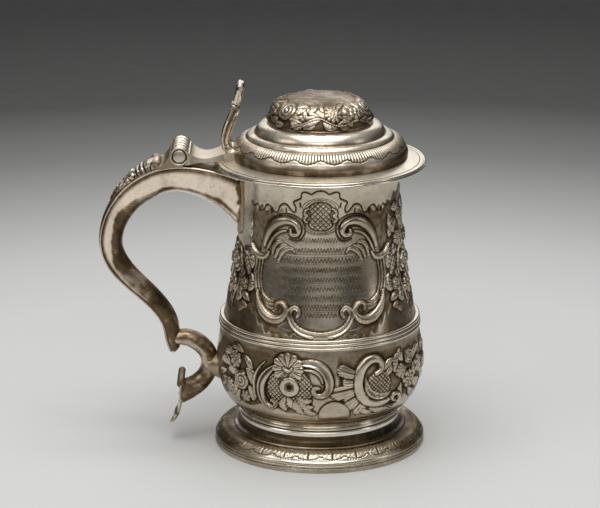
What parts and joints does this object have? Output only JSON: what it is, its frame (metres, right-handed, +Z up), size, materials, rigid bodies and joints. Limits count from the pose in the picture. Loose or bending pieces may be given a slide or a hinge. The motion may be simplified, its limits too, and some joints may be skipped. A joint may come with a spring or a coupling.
{
  "type": "lidded tankard",
  "caption": "Lidded baluster quart tankard of chased silver with a domed hinged lid, scrolled thumbpiece and hollow double-scroll handle on a spreading foot.",
  "frame": {"origin": "centre of the foot's ring on the table", "axes": "+Z up along the vessel's axis, +X away from the handle, +Y across the handle"},
  "size_m": [0.1792, 0.1164, 0.2042],
  "materials": {
    "raised_silver": "old chased silver, tarnished brown in the recesses",
    "handle_silver": "hand-worn silver with warm brown tarnish",
    "cast_silver": "cast silver, burnished on the high places",
    "drawn_silver_wire": "burnished silver wire",
    "hinge_silver": "silver, dark in the joints"
  },
  "bodies": {
    "vessel": {"body_shell": "raised_silver", "lip_wire": "drawn_silver_wire", "girdle_band": "drawn_silver_wire", "foot_collar": "drawn_silver_wire", "foot_dome": "raised_silver", "foot_rim": "drawn_silver_wire", "upper_socket_plate": "handle_silver", "handle_channel": "handle_silver", "handle_strap": "handle_silver", "handle_tail_cap": "handle_silver", "handle_leaf": "cast_silver", "scroll_front_half": "handle_silver", "scroll_back_half": "handle_silver", "lower_socket_collar": "handle_silver", "terminal_shield": "cast_silver", "hinge_seat": "cast_silver", "handle_knuckle_front": "hinge_silver", "handle_knuckle_middle": "hinge_silver", "handle_knuckle_back": "hinge_silver", "hinge_pin": "hinge_silver", "pin_cap_front": "hinge_silver", "pin_cap_back": "hinge_silver"},
    "lid": {"lid_flange": "raised_silver", "lid_edge_wire": "drawn_silver_wire", "lid_dome": "raised_silver", "lid_boss": "raised_silver", "lid_bezel": "drawn_silver_wire", "lid_strap": "cast_silver", "lid_knuckle_front": "hinge_silver", "lid_knuckle_back": "hinge_silver", "thumbpiece": "cast_silver"}
  },
  "joints": [
    {"name": "lid_hinge", "type": "hinge", "parent": "vessel", "child": "lid", "pos_m": [-0.076, 0, 0.1653], "axis": [0, -1, 0], "range_deg": [0, 110]}
  ]
}
